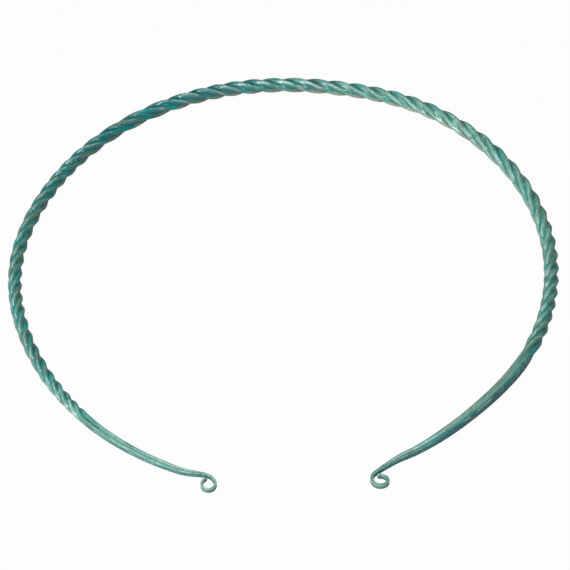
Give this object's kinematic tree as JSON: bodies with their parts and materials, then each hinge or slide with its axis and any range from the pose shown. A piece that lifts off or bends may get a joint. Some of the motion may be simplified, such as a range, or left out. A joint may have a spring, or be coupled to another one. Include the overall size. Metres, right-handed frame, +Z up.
{
  "type": "bronze torc",
  "caption": "Open neck ring of one square bronze bar: twisted like rope round the hoop, plain tapering ends rolled outwards into small eyelets beside the mouth.",
  "frame": {"origin": "middle of the torc's outline, on the surface it lies on", "axes": "+Z up out of the plane the torc lies in, +X across its width, and the mouth with the two eyelets faces -Y"},
  "size_m": [0.1902, 0.189, 0.0054],
  "materials": {
    "bronze": "bronze with a mottled blue-green patina, smooth and half glossy"
  },
  "bodies": {
    "root": {"torc": "bronze"}
  },
  "joints": []
}
